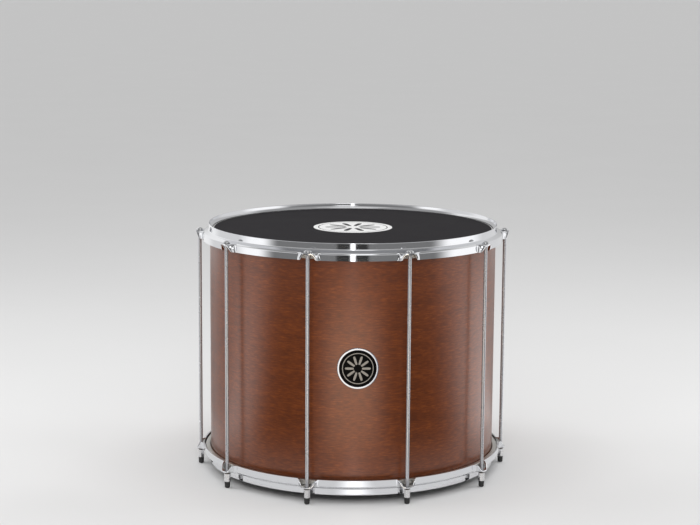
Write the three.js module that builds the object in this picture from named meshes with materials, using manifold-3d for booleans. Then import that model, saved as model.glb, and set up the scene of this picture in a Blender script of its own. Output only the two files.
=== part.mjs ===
// Surdo: the bass drum of a samba band, with a wooden shell, two heads and ten long tension rods.
// Millimetres, +Z up. The origin is on the floor, on the drum's axis, and the badge faces -Y.
// The drum stands on the rubber feet of its tension nuts. Both counter hoops are one and the same
// pressed part: the upper one's rim points up, the lower one's points down.

import * as THREE from 'three';
import { ConvexGeometry } from 'three/addons/geometries/ConvexGeometry.js';
import { mergeVertices } from 'three/addons/utils/BufferGeometryUtils.js';
import Module from 'manifold-3d';

const wasm = await Module();
wasm.setup();

// Wooden shell
const shellRadius = 253;
const shellWall = 7;
const shellHeight = 406;
const edgeInset = 4.5; // from the shell's outside to the ridge of the bearing edge

// Clearances
const seatGap = 0.3; // between pieces that sit on each other
const overrun = 1; // how far a cutting body runs past what it cuts

// Heads, each a skin with its collar
const headThickness = 0.7;
const headBelowRim = 9.3; // from the hoop's rim down to the playing face

// Flesh hoops, the rings that hold the edge of a skin
const fleshClearance = 1.2; // round the shell
const fleshWidth = 7.8;
const fleshHeight = 8.7;
const fleshLip = 1; // wall between the groove and the inside
const grooveDepth = 6;

// Counter hoops, pressed from sheet
const hoopSheet = 2.3;
const hoopHeight = 28.2;
const wallHeight = 11.4; // upright wall, from the rim down to the shoulder
const shoulderDrop = 4.8;
const skirtClearance = 1.7; // round the flesh hoop
const foldRadius = 2.6; // outside of the fold between shoulder and skirt
const rimRadius = 0.9;

// Ears of the counter hoops, one at each rod
const rodCount = 10;
const rodStandoff = 5; // from the skirt's outside to a rod's axis
const landDepth = 14.5; // from the rim down to the flat land of an ear
const landHalfWidth = 7.4; // at the front edge
const noseReach = 7.4; // of the land past the rod's axis
const kneeHalfWidth = 11; // where the legs of the front edge bend
const kneeDrop = 3.1; // from the land down to that bend
const mouthHalfWidth = 16.2; // at the free edge of the skirt
const mouthReach = 2; // of the front edge past the skirt, at the free edge
const rootHalfWidth = 20; // where the side walls run into the skirt
const landBevel = 0.8;

// Tension rods, with a domed head and a square neck that keeps them from turning
const rodDiameter = 6;
const domeDiameter = 13.4;
const domeHeight = 4.1;
const domeEdge = 0.9; // upright edge under the dome
const neckSide = 6.6;
const neckLength = 5.5;
const rodEndBevel = 0.8;
const holeClearance = 0.4; // round the neck and the rod

// Washers, nuts and rubber feet
const washerDiameter = 11.2;
const washerThickness = 1.8;
const nutAcrossFlats = 10;
const nutLength = 14.4;
const nutBevel = 0.9;
const footTopDiameter = 9.9;
const footEndDiameter = 8.8;
const footLength = 10.8;
const footRound = 2.6;
const footStemLength = 2; // pressed into the nut's bore
const rodEndClearance = 0.5; // between the rod's end and the foot's stem

// Badge, bent round the shell
const badgeRadius = 34.5;
const badgeThickness = 0.8;
const badgeRimWidth = 3.4;
const badgeRimThickness = 1.4;
const badgeLift = 3.8; // over the middle of the shell

// Counts of flat faces round each kind of piece
const ringSegments = 6 * rodCount;
const smallSegments = 12;
const badgeSegments = 36;
const badgeBendSegments = 6;
const landSegments = 6;
const foldSegments = 2;
const domeSegments = 3;
const nutSides = 6;

// Heights, built up from the floor through the pieces that carry the drum
const nutBottom = footLength + seatGap;
const nutTop = nutBottom + nutLength;
const washerBottom = nutTop + seatGap;
const lowerLand = washerBottom + washerThickness + seatGap;
const lowerRim = lowerLand - landDepth;
const shellBottom = lowerRim + headBelowRim + headThickness + seatGap;
const shellTop = shellBottom + shellHeight;
const upperRim = shellTop + seatGap + headThickness + headBelowRim;
const upperLand = upperRim - landDepth;
const badgeHeight = (shellBottom + shellTop) / 2 + badgeLift;

// Radii, built up from the shell outwards
const shellInside = shellRadius - shellWall;
const fleshInside = shellRadius + fleshClearance;
const fleshOutside = fleshInside + fleshWidth;
const wallInside = shellRadius;
const wallOutside = wallInside + hoopSheet;
const skirtInside = fleshOutside + skirtClearance;
const skirtOutside = skirtInside + hoopSheet;
const rodCircle = skirtOutside + rodStandoff;

// The shoulder of a counter hoop, as a straight line that falls outwards from the wall
const shoulderTop = hoopHeight - wallHeight;
const shoulderSlope = shoulderDrop / (skirtOutside - wallOutside);
const sheetUpright = hoopSheet * Math.hypot(1, shoulderSlope);
const shoulderAt = (radius, depth) => shoulderTop - (radius - wallOutside) * shoulderSlope - depth;

const turned = (profile, segments) => {
  const points = profile.map(([radius, height]) => new THREE.Vector2(radius, height));
  return new THREE.LatheGeometry(points, segments).rotateX(Math.PI / 2);
};

const arc = (centre, radius, from, to, steps) => Array.from({ length: steps + 1 }, (_, step) => {
  const angle = from + (to - from) * step / steps;
  return [centre[0] + radius * Math.cos(angle), centre[1] + radius * Math.sin(angle)];
});

// A closed three.js geometry as a solid that can be joined and cut
const solid = (geometry) => {
  const bare = geometry.clone();
  bare.deleteAttribute('normal');
  bare.deleteAttribute('uv');
  const merged = mergeVertices(bare);
  const corners = merged.index.array;
  const kept = [];
  for (let start = 0; start < corners.length; start += 3) {
    const [a, b, c] = corners.slice(start, start + 3);
    if (a !== b && b !== c && c !== a) kept.push(a, b, c);
  }
  const vertProperties = new Float32Array(merged.attributes.position.array);
  return new wasm.Manifold(new wasm.Mesh({ numProp: 3, vertProperties, triVerts: new Uint32Array(kept) }));
};

const geometryOf = (body) => {
  const { vertProperties, triVerts } = body.getMesh();
  const geometry = new THREE.BufferGeometry();
  geometry.setAttribute('position', new THREE.BufferAttribute(vertProperties, 3));
  geometry.setIndex(new THREE.BufferAttribute(triVerts, 1));
  return geometry;
};

const hull = (points) => solid(new ConvexGeometry(points.map((point) => new THREE.Vector3(...point))));

// Places round the drum: the badge sits midway between the first and the last
const places = Array.from({ length: rodCount }, (_, index) => (index + 0.5) * 2 * Math.PI / rodCount);

// A point of an ear, given along the rim, outwards and up, turned to its place on the drum
const atPlace = (angle) => ([along, out, up]) => [
  along * Math.cos(angle) + out * Math.sin(angle),
  along * Math.sin(angle) - out * Math.cos(angle),
  up,
];

// Shell: a straight cylinder with a ridge at each end, sloped to both sides
const shellGeometry = () => {
  const ridge = shellRadius - edgeInset;
  const innerSlope = ridge - shellInside;
  return turned([
    [ridge, shellBottom],
    [shellRadius, shellBottom + edgeInset],
    [shellRadius, shellTop - edgeInset],
    [ridge, shellTop],
    [shellInside, shellTop - innerSlope],
    [shellInside, shellBottom + innerSlope],
    [ridge, shellBottom],
  ], ringSegments);
};

// Head: a flat skin that bends down over the bearing edge into the groove of its flesh hoop.
// Its playing face is at height zero.
const collarInside = fleshInside + fleshLip + seatGap;
const collarOutside = collarInside + headThickness;
const fleshTop = shoulderAt(fleshOutside, sheetUpright) - seatGap;
const playingFace = hoopHeight - headBelowRim;
const headGeometry = () => {
  const ridge = shellRadius - edgeInset;
  const bend = ridge + headThickness * Math.tan(Math.PI / 8);
  const hem = fleshTop - grooveDepth + seatGap - playingFace;
  return turned([
    [0, -headThickness],
    [ridge, -headThickness],
    [collarInside, -headThickness - (collarInside - ridge)],
    [collarInside, hem],
    [collarOutside, hem],
    [collarOutside, bend - collarOutside],
    [bend, 0],
    [0, 0],
  ], ringSegments);
};

// Flesh hoop: a ring round the shell with a groove that holds the skin's edge.
// Height zero is level with the skirt's free edge, and the ring lies under the shoulder of the hoop.
const fleshGeometry = () => {
  const grooveInside = collarInside - seatGap;
  const grooveOutside = collarOutside + seatGap;
  const fleshBottom = fleshTop - fleshHeight;
  return turned([
    [fleshInside, fleshBottom],
    [fleshOutside, fleshBottom],
    [fleshOutside, fleshTop],
    [grooveOutside, fleshTop],
    [grooveOutside, fleshTop - grooveDepth],
    [grooveInside, fleshTop - grooveDepth],
    [grooveInside, fleshTop],
    [fleshInside, fleshTop],
    [fleshInside, fleshBottom],
  ], ringSegments);
};

// Counter hoop: an upright wall, a sloped shoulder and a skirt, with its free edge at height zero
const hoopRing = () => {
  const lean = Math.atan(shoulderSlope);
  const foldOut = skirtOutside - foldRadius;
  const foldHeight = shoulderAt(foldOut, foldRadius * Math.hypot(1, shoulderSlope));
  const fold = arc([foldOut, foldHeight], foldRadius, 0, Math.PI / 2 - lean, foldSegments);
  const rimTop = hoopHeight - rimRadius;
  const outerRim = arc([wallOutside - rimRadius, rimTop], rimRadius, 0, Math.PI / 2, foldSegments);
  const innerRim = arc([wallInside + rimRadius, rimTop], rimRadius, Math.PI / 2, Math.PI, foldSegments);
  return solid(turned([
    [skirtOutside, 0],
    ...fold,
    [wallOutside, shoulderTop],
    ...outerRim,
    ...innerRim,
    [wallInside, shoulderAt(wallInside, sheetUpright)],
    [skirtInside, shoulderAt(skirtInside, sheetUpright)],
    [skirtInside, 0],
    [skirtOutside, 0],
  ], ringSegments));
};

// The room inside a counter hoop, up to the middle of its sheet, where no ear may reach
const hoopRoom = () => {
  const half = hoopSheet / 2;
  const wallMiddle = wallInside + half;
  const skirtMiddle = skirtInside + half;
  return solid(turned([
    [0, -overrun],
    [skirtMiddle, -overrun],
    [skirtMiddle, shoulderAt(skirtMiddle, sheetUpright / 2)],
    [wallMiddle, shoulderAt(wallMiddle, sheetUpright / 2)],
    [wallMiddle, hoopHeight + overrun],
    [0, hoopHeight + overrun],
  ], ringSegments));
};

// The front edge of an ear, seen from above, is half an ellipse from one end of its mouth to the other
const mouthOut = skirtOutside + mouthReach;
const frontAt = (along) => mouthOut
  + (rodCircle + noseReach - mouthOut) * Math.sqrt(1 - (along / mouthHalfWidth) ** 2);

// An ear seen as a full block: a flat land, knees, and side walls that spread towards the skirt
const landHeight = hoopHeight - landDepth;
const landUnderside = landHeight - hoopSheet;
const kneeHeight = landHeight - kneeDrop;
const pair = (width, out, up) => [[-width, out, up], [width, out, up]];
const earBlock = (angle) => {
  const nose = (width, inset, height) => arc([0, 0], width, 0, Math.PI, landSegments)
    .map(([along]) => [along, frontAt(along) - inset, height]);
  return hull([
    ...nose(landHalfWidth - landBevel, landBevel, landHeight),
    ...nose(landHalfWidth, 0, landHeight - landBevel),
    ...pair(kneeHalfWidth, frontAt(kneeHalfWidth), kneeHeight),
    ...pair(mouthHalfWidth, mouthOut, 0),
    ...pair(rootHalfWidth - landBevel, wallInside, landHeight),
    ...pair(rootHalfWidth, fleshOutside, landHeight - landBevel),
    ...pair(rootHalfWidth, skirtInside, landHeight - foldRadius),
    ...pair(rootHalfWidth, skirtInside, 0),
  ].map(atPlace(angle)));
};

// The hollow under an ear: its mouth, open at the front and at the free edge, and a wider room behind
const legWall = hoopSheet * Math.hypot(mouthHalfWidth - landHalfWidth, landHeight) / landHeight;
const earMouth = (angle) => {
  const front = rodCircle + noseReach + overrun;
  const knee = kneeHeight - hoopSheet;
  const section = (out) => [
    ...pair(landHalfWidth - legWall, out, landUnderside),
    ...pair(kneeHalfWidth - legWall, out, knee),
    ...pair(mouthHalfWidth - legWall, out, -overrun),
  ];
  return hull([...section(fleshOutside), ...section(front)].map(atPlace(angle)));
};

const earRoom = (angle) => hull([
  ...pair(rootHalfWidth - legWall, fleshOutside, landUnderside),
  ...pair(rootHalfWidth - legWall, fleshOutside, -overrun),
  ...pair(kneeHalfWidth - legWall, mouthOut, landUnderside),
  ...pair(mouthHalfWidth - legWall, mouthOut, -overrun),
].map(atPlace(angle)));

// The square hole in a land, which takes a rod's neck
const earHole = (angle) => {
  const side = neckSide + 2 * holeClearance;
  const box = new THREE.BoxGeometry(side, side, hoopHeight);
  box.translate(0, -rodCircle, landHeight).rotateZ(angle);
  return solid(box);
};

const hoopGeometry = () => {
  const join = (bodies) => bodies.reduce((sum, body) => sum.add(body));
  const ears = join(places.map(earBlock)).subtract(hoopRoom());
  const cuts = join([earMouth, earRoom, earHole].flatMap((cut) => places.map(cut)));
  return geometryOf(hoopRing().add(ears).subtract(cuts));
};

// Rod: its head's underside is at height zero and it hangs down from there
const rodLength = upperLand + seatGap - (nutBottom + footStemLength + rodEndClearance);
const rodGeometry = () => {
  const radius = rodDiameter / 2;
  const edge = domeDiameter / 2;
  const rise = domeHeight - domeEdge;
  const round = (edge * edge + rise * rise) / (2 * rise);
  const rimAngle = Math.asin((round - rise) / round);
  const dome = arc([0, domeHeight - round], round, rimAngle, Math.PI / 2, domeSegments);
  const stem = solid(turned([
    [0, -rodLength],
    [radius - rodEndBevel, -rodLength],
    [radius, -rodLength + rodEndBevel],
    [radius, 0],
    [edge, 0],
    ...dome.slice(0, -1),
    [0, domeHeight],
  ], smallSegments));
  const neck = new THREE.BoxGeometry(neckSide, neckSide, neckLength + domeEdge);
  neck.translate(0, 0, (domeEdge - neckLength) / 2);
  return geometryOf(stem.add(solid(neck)));
};

// Washer, its lower face at height zero
const washerGeometry = () => turned([
  [rodDiameter / 2 + holeClearance, 0],
  [washerDiameter / 2, 0],
  [washerDiameter / 2, washerThickness],
  [rodDiameter / 2 + holeClearance, washerThickness],
  [rodDiameter / 2 + holeClearance, 0],
], smallSegments);

// Nut: a long hexagon bevelled at both ends, bored right through, its lower face at height zero
const boreRadius = rodDiameter / 2 + holeClearance;
const nutGeometry = () => {
  const corner = nutAcrossFlats / 2 / Math.cos(Math.PI / nutSides);
  const hexagon = new THREE.CylinderGeometry(corner, corner, nutLength, nutSides).rotateX(Math.PI / 2);
  hexagon.translate(0, 0, nutLength / 2);
  const blank = turned([
    [0, 0],
    [corner - nutBevel, 0],
    [corner, nutBevel],
    [corner, nutLength - nutBevel],
    [corner - nutBevel, nutLength],
    [0, nutLength],
  ], smallSegments);
  const bore = new THREE.CylinderGeometry(boreRadius, boreRadius, nutLength + 2 * overrun, smallSegments);
  bore.rotateX(Math.PI / 2).translate(0, 0, nutLength / 2);
  return geometryOf(solid(hexagon).intersect(solid(blank)).subtract(solid(bore)));
};

// Foot: a rubber tip with a stem in the nut's bore, standing at height zero
const footGeometry = () => {
  const top = footTopDiameter / 2;
  const end = footEndDiameter / 2;
  const stem = boreRadius - seatGap;
  return turned([
    [0, 0],
    ...arc([end - footRound, footRound], footRound, -Math.PI / 2, 0, foldSegments),
    [top, footLength],
    [stem, footLength],
    [stem, nutBottom + footStemLength],
    [0, nutBottom + footStemLength],
  ], smallSegments);
};

// Badge: a round plate and the raised rim round it, both bent to the shell
const bentSheet = (thickness) => {
  const inside = shellRadius + seatGap;
  const outside = inside + thickness;
  const reach = Math.asin((badgeRadius + overrun) / inside);
  const front = -Math.PI / 2;
  const bend = (radius, from, to) => arc([0, 0], radius, front + from, front + to, badgeBendSegments);
  const outline = [...bend(outside, -reach, reach), ...bend(inside, reach, -reach)];
  const shape = new THREE.Shape(outline.map(([x, y]) => new THREE.Vector2(x, y)));
  const depth = 2 * (badgeRadius + overrun);
  const sheet = new THREE.ExtrudeGeometry(shape, { depth, bevelEnabled: false });
  return solid(sheet.translate(0, 0, badgeHeight - depth / 2));
};

const badgeDisc = (radius) => {
  const disc = new THREE.CylinderGeometry(radius, radius, shellRadius, badgeSegments);
  return solid(disc.translate(0, -shellRadius, badgeHeight));
};

const badgePlateGeometry = () => {
  const radius = badgeRadius - badgeRimWidth - seatGap;
  return geometryOf(bentSheet(badgeThickness).intersect(badgeDisc(radius)));
};

const badgeRimGeometry = () => {
  const opening = badgeDisc(badgeRadius - badgeRimWidth);
  return geometryOf(bentSheet(badgeRimThickness).intersect(badgeDisc(badgeRadius)).subtract(opening));
};

// Finishes
const finish = (color, roughness, metalness) => () => new THREE.MeshStandardMaterial({
  color, roughness, metalness, flatShading: true,
});
const mahogany = finish(0x6b3b27, 0.42, 0);
const chrome = finish(0xd9dbde, 0.1, 1);
const blackSkin = finish(0x39373a, 0.8, 0);
const aluminium = finish(0xcfcdc7, 0.38, 1);
const darkSteel = finish(0x4a4641, 0.45, 1);
const rubber = finish(0x1d1e1f, 0.75, 0);
const blackEnamel = finish(0x0e0e10, 0.3, 0);

const surdo = new THREE.Group();
const addPiece = (name, geometry, material) => {
  const piece = new THREE.Mesh(geometry, material());
  piece.name = name;
  surdo.add(piece);
  return piece;
};

addPiece('shell', shellGeometry(), mahogany);
addPiece('badge_plate', badgePlateGeometry(), blackEnamel);
addPiece('badge_rim', badgeRimGeometry(), chrome);

// The two ends of the drum hold the same pieces, turned over at the lower one
const ends = [
  { end: 'top', turn: 0, rim: upperRim, side: 1 },
  { end: 'bottom', turn: Math.PI, rim: lowerRim, side: -1 },
];
const headShape = headGeometry();
const fleshShape = fleshGeometry();
const hoopShape = hoopGeometry();
for (const { end, turn, rim, side } of ends) {
  const head = addPiece(`${end}_head`, headShape, blackSkin);
  head.position.z = rim - side * headBelowRim;
  head.rotation.x = turn;
  const flesh = addPiece(`${end}_flesh_hoop`, fleshShape, aluminium);
  flesh.position.z = rim - side * hoopHeight;
  flesh.rotation.x = turn;
  const hoop = addPiece(`${end}_hoop`, hoopShape, chrome);
  hoop.position.z = rim - side * hoopHeight;
  hoop.rotation.x = turn;
}

// At each place a rod runs from the upper ear down through the lower ear, washer and nut
const fittings = [
  { name: 'tension_rod', shape: rodGeometry(), material: chrome, height: upperLand + seatGap },
  { name: 'washer', shape: washerGeometry(), material: darkSteel, height: washerBottom },
  { name: 'tension_nut', shape: nutGeometry(), material: chrome, height: nutBottom },
  { name: 'rubber_foot', shape: footGeometry(), material: rubber, height: 0 },
];
places.forEach((angle, index) => {
  const number = String(index + 1).padStart(2, '0');
  for (const { name, shape, material, height } of fittings) {
    const piece = addPiece(`${name}_${number}`, shape, material);
    piece.position.set(rodCircle * Math.sin(angle), -rodCircle * Math.cos(angle), height);
    piece.rotation.z = angle;
  }
});

export default surdo;
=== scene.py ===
# %% [markdown]
# This lesson dresses a surdo, the bass drum of a samba band. The construction comes packed, at its real
# size: a wooden shell, two heads, two counter hoops and ten long tension rods, each with a washer, a nut
# and a rubber foot. Blender gives every one of them its fine surface and its finish. The drum stands on
# its feet at height zero, its axis is Z, and the badge faces -Y.

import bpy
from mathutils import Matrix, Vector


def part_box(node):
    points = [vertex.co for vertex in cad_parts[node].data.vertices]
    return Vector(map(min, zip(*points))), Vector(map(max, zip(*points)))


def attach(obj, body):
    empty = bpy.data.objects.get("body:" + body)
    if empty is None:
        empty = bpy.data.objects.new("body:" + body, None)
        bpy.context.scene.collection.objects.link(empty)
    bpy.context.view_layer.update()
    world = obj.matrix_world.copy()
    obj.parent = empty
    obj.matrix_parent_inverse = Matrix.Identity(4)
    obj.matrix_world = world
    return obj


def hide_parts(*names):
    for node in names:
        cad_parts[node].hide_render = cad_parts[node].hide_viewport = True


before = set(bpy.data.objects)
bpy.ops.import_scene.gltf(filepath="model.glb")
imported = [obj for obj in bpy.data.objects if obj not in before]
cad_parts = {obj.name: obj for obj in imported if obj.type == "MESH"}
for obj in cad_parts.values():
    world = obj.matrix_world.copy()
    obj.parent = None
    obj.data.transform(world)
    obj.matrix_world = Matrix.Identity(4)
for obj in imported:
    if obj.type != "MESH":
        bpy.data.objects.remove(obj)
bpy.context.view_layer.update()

# %% [markdown]
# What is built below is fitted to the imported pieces, so their places are measured first. A turned piece
# needs its radius and its two heights. The rods stand on one circle, each at the middle of its own box.

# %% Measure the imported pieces
import math

import bmesh
import bpy
import numpy as np
from mathutils import Matrix, Vector

mm = 0.001
rod_count = sum(name.startswith("tension_rod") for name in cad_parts)
numbers = [f"{index + 1:02d}" for index in range(rod_count)]


def heights(node):
    low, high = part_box(node)
    return low.z, high.z


def place_of(node):
    low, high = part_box(node)
    middle = (low + high) / 2
    return math.hypot(middle.x, middle.y), math.atan2(middle.x, -middle.y)


shell_bottom, shell_top = heights("shell")
shell_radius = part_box("shell")[1].x
playing_face = heights("top_head")[1]
lower_face = heights("bottom_head")[0]
hoop_edge, hoop_rim = heights("top_hoop")
hoop_height = hoop_rim - hoop_edge
lower_rim = heights("bottom_hoop")[0]
rod_circle = place_of("tension_rod_01")[0]
rod_angles = [place_of(f"tension_rod_{number}")[1] for number in numbers]
print(rod_count, "rods on a circle of", round(2000 * rod_circle, 1), "mm")

# %% [markdown]
# Nearly every piece of a drum is round, so one tool makes most of them: it joins rings of points into a
# skin. A turned piece is a profile swept round the axis. A small round on every edge catches the light, so
# a profile is written as corners, each with the length that its round takes off both sides.

# %% Tools for turned pieces
def rounded(corners, steps=4, closed=True):
    """The outline through corners (radius, height, cut), each corner rounded over its cut."""
    points = []
    count = len(corners)
    for index, (radius, height, cut) in enumerate(corners):
        corner = np.array([radius, height])
        if cut == 0 or (not closed and index in (0, count - 1)):
            points.append(corner)
            continue
        before = np.array(corners[index - 1][:2])
        after = np.array(corners[(index + 1) % count][:2])
        start = corner + (before - corner) * cut / np.linalg.norm(before - corner)
        end = corner + (after - corner) * cut / np.linalg.norm(after - corner)
        for share in np.linspace(0, 1, steps + 1):
            points.append((1 - share) ** 2 * start + 2 * share * (1 - share) * corner + share ** 2 * end)
    return np.array(points)


def full_turn(segments):
    return np.linspace(0, 2 * math.pi, segments, endpoint=False)


def turned(profile, segments=240):
    """Rings of points from rows of (radius, height), where a radius may be one for each point."""
    turn = full_turn(segments)
    return np.array([
        np.stack([radius * np.sin(turn), -radius * np.cos(turn), np.full(segments, height)], axis=1)
        for radius, height in profile
    ])


def skin_faces(ring_count, segments, closed):
    """Four-sided faces between neighbouring rings, and from the last to the first if closed."""
    ring, step = np.meshgrid(np.arange(ring_count if closed else ring_count - 1), np.arange(segments),
                             indexing="ij")
    after = (ring + 1) % ring_count
    beside = (step + 1) % segments
    corners = (ring * segments + step, ring * segments + beside,
               after * segments + beside, after * segments + step)
    return np.stack(corners, axis=-1)


def skin(rings, closed=True):
    faces = skin_faces(rings.shape[0], rings.shape[1], closed)
    return rings.reshape(-1, 3), faces.reshape(-1, 4).tolist()


# %% [markdown]
# A finished shape becomes an object that rides on the body of the piece it stands for. Doubled points,
# such as the ring of zero size at the tip of a dome, are merged, the faces are turned outwards, and only
# edges sharper than a set angle stay sharp.

# %% Turn a shape into a piece
merge_distance = 0.002 * mm


def mesh_of(name, shape, finishes):
    points, faces = shape
    mesh = bpy.data.meshes.new(name)
    mesh.from_pydata(points.tolist(), [], faces)
    for finish in finishes:
        mesh.materials.append(finish)
    return mesh


def put(name, data):
    """Adds an object with this mesh, lamp or camera to the scene."""
    item = bpy.data.objects.new(name, data)
    bpy.context.scene.collection.objects.link(item)
    return item


def add_piece(name, shape, finish, node, body="drum", sharp=50, zones=None):
    """A piece on its body. A zone is a test of where a face lies, with a finish of its own."""
    zones = zones or {}
    mesh = mesh_of(name, shape, [finish, *zones.values()])
    work = bmesh.new()
    work.from_mesh(mesh)
    bmesh.ops.remove_doubles(work, verts=work.verts, dist=merge_distance)
    bmesh.ops.dissolve_degenerate(work, edges=work.edges, dist=merge_distance)
    bmesh.ops.recalc_face_normals(work, faces=work.faces)
    work.to_mesh(mesh)
    work.free()
    for index, inside in enumerate(zones, start=1):
        for face in mesh.polygons:
            if inside(face.center):
                face.material_index = index
    mesh.shade_smooth()
    mesh.set_sharp_from_angle(angle=math.radians(sharp))
    piece = put(name, mesh)
    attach(piece, body)
    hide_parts(node)


def at_rod(points, angle):
    """Points of a shape that stands at the origin, moved to a place on the rods' circle."""
    turn = np.array(Matrix.Rotation(angle, 3, "Z"))
    middle = np.array([rod_circle * math.sin(angle), -rod_circle * math.cos(angle), 0])
    return points @ turn.T + middle


# %% [markdown]
# Finishes are written as sums. A wire wraps the output of a shader node, and sums of wires add Math
# nodes, so that a grain reads like a formula. Every other node is made by one method: its settings first,
# and then the values or links of its sockets.

# %% A finish whose shader is written as sums
def operator(operation, swapped=False):
    """An operator of wires and numbers that adds this Math node."""
    def add_node(wire, other):
        return wire.maths(operation, other, wire) if swapped else wire.maths(operation, wire, other)
    return add_node


class Wire:
    """One output of a shader node."""

    def __init__(self, finish, socket):
        self.finish = finish
        self.socket = socket

    def maths(self, operation, first, second=0.0):
        return self.finish.node("ShaderNodeMath", {"operation": operation}, {0: first, 1: second})

    __add__ = operator("ADD")
    __radd__ = operator("ADD", swapped=True)
    __sub__ = operator("SUBTRACT")
    __rsub__ = operator("SUBTRACT", swapped=True)
    __mul__ = operator("MULTIPLY")
    __rmul__ = operator("MULTIPLY", swapped=True)
    __gt__ = operator("GREATER_THAN")
    __lt__ = operator("LESS_THAN")


class Finish:
    """A material and the tree of nodes that paints it."""

    def __init__(self, name):
        self.material = bpy.data.materials.new(name)
        self.material.use_nodes = True
        self.tree = self.material.node_tree
        self.tree.nodes.clear()

    def node(self, kind, settings=None, inputs=None, output=None):
        made = self.tree.nodes.new(kind)
        for name, value in (settings or {}).items():
            setattr(made, name, value)
        for key, value in (inputs or {}).items():
            socket = made.inputs[key] if isinstance(key, int) else next(
                s for s in made.inputs if s.name == key and s.enabled)
            if isinstance(value, Wire):
                self.tree.links.new(value.socket, socket)
            else:
                socket.default_value = value
        shown = [s for s in made.outputs if s.enabled and (output is None or s.name == output)]
        return Wire(self, shown[0]) if shown else None

    def surface(self, inputs):
        """Ends the tree with a shader whose sockets have these values or links."""
        shader = self.node("ShaderNodeBsdfPrincipled", None, inputs)
        self.node("ShaderNodeOutputMaterial", None, {"Surface": shader})
        return self.material


def srgb(red, green, blue):
    """A colour given as 0 to 255, as the shader's linear values."""
    shares = [value / 255 for value in (red, green, blue)]
    linear = [s / 12.92 if s <= 0.04045 else ((s + 0.055) / 1.055) ** 2.4 for s in shares]
    return (*linear, 1.0)


def grey(level):
    return (level, level, level, 1.0)


# %% [markdown]
# Most finishes need the same few marks: a place on the piece in metres, noise of a given real size, a
# blend of two colours and a bump of a given real depth. Noise that is longer one way than the other makes
# grain and brushing.

# %% Marks that finishes share
def place(finish):
    return finish.node("ShaderNodeTexCoord", output="Object")


def coordinate(vector, axis):
    return vector.finish.node("ShaderNodeSeparateXYZ", None, {0: vector}, axis)


def stretched(vector, sizes):
    """The place counted in steps of one size, or of a size each along X, Y and Z."""
    counts = tuple(1 / size for size in np.broadcast_to(sizes, 3))
    return vector.finish.node("ShaderNodeVectorMath", {"operation": "MULTIPLY"}, {0: vector, 1: counts})


def noise(vector, sizes, detail=3.0, roughness=0.5):
    return vector.finish.node("ShaderNodeTexNoise", None, {
        "Vector": stretched(vector, sizes), "Scale": 1.0, "Detail": detail, "Roughness": roughness,
    }, "Fac")


def ramp(value, stops):
    shade = value.finish.node("ShaderNodeValToRGB", None, {"Fac": value}, "Color")
    elements = shade.socket.node.color_ramp.elements
    while len(elements) < len(stops):
        elements.new(0.5)
    for element, (position, colour) in zip(elements, stops):
        element.position = position
        element.color = colour
    return shade


def between(value, low, high):
    """0 below low, 1 above high and a soft step between them."""
    return value.finish.node("ShaderNodeMapRange", {"interpolation_type": "SMOOTHSTEP"},
                             {"Value": value, "From Min": low, "From Max": high})


def blend(share, first, second):
    return share.finish.node("ShaderNodeMix", {"data_type": "RGBA"},
                             {"Factor": share, "A": first, "B": second})


def bump(height, depth):
    inputs = {"Height": height, "Distance": depth, "Strength": 1.0}
    return height.finish.node("ShaderNodeBump", None, inputs, "Normal")


def from_axis(vector):
    """Distance from the drum's axis."""
    flatten = {0: vector, 1: (1.0, 1.0, 0.0)}
    flat = vector.finish.node("ShaderNodeVectorMath", {"operation": "MULTIPLY"}, flatten)
    return vector.finish.node("ShaderNodeVectorMath", {"operation": "LENGTH"}, {0: flat}, "Value")


# %% [markdown]
# The shell is bent plywood with a mahogany face veneer. Its grain runs round the shell, as short streaks
# from orange to a dull dark brown, under a satin lacquer. Stained fibres throw back some of the light in
# their own colour, like a dull metal, and the lacquer adds a soft sheen. So the wood is slightly metallic
# and the lacquer is a coat over it.

# %% Mahogany
def mahogany():
    finish = Finish("mahogany")
    here = place(finish)
    figure = noise(here, (90 * mm, 90 * mm, 14 * mm), 2.0)
    streak = noise(here, (12 * mm, 12 * mm, 1.9 * mm), 5.0, 0.6)
    fibre = noise(here, (7 * mm, 7 * mm, 0.5 * mm), 3.0, 0.6)
    pores = between(noise(here, (4.5 * mm, 4.5 * mm, 0.28 * mm), 2.0), 0.6, 0.72)
    tone = streak * 0.62 + fibre * 0.2 + figure * 0.18
    colour = ramp(tone, [
        (0.34, srgb(88, 42, 15)),
        (0.46, srgb(109, 51, 16)),
        (0.54, srgb(123, 59, 18)),
        (0.66, srgb(146, 76, 25)),
    ])
    colour = blend(pores * 0.3, colour, srgb(60, 30, 20))
    return finish.surface({
        "Base Color": colour,
        "Metallic": 0.45,
        "Roughness": 0.42 + 0.12 * streak,
        "Specular IOR Level": 0.0,
        "Coat Weight": 1.0,
        "Coat Roughness": 0.3,
        "Coat IOR": 1.6,
        "Normal": bump(streak * 0.5 + fibre * 0.3 - pores * 0.6, 0.05 * mm),
    })


# %% [markdown]
# The shell itself is a straight tube. Both ends are cut to a rounded ridge, the bearing edge, over which
# the head bends. One turned profile gives the wall and both ridges, exactly round.

# %% Shell
shell_wall = 7 * mm
edge_inset = 4.5 * mm
outer_corner_round = 1.2 * mm
ridge_round = 0.9 * mm
inner_corner_round = 0.6 * mm
ridge_radius = shell_radius - edge_inset
shell_inside = shell_radius - shell_wall
inner_slope = shell_wall - edge_inset

tube = turned(rounded([
    (shell_radius, shell_bottom + edge_inset, outer_corner_round),
    (shell_radius, shell_top - edge_inset, outer_corner_round),
    (ridge_radius, shell_top, ridge_round),
    (shell_inside, shell_top - inner_slope, inner_corner_round),
    (shell_inside, shell_bottom + inner_slope, inner_corner_round),
    (ridge_radius, shell_bottom, ridge_round),
]), 288)
add_piece("wooden_shell", skin(tube), mahogany(), "shell")
print("shell", round(2000 * shell_radius, 1), "mm across")

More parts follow.
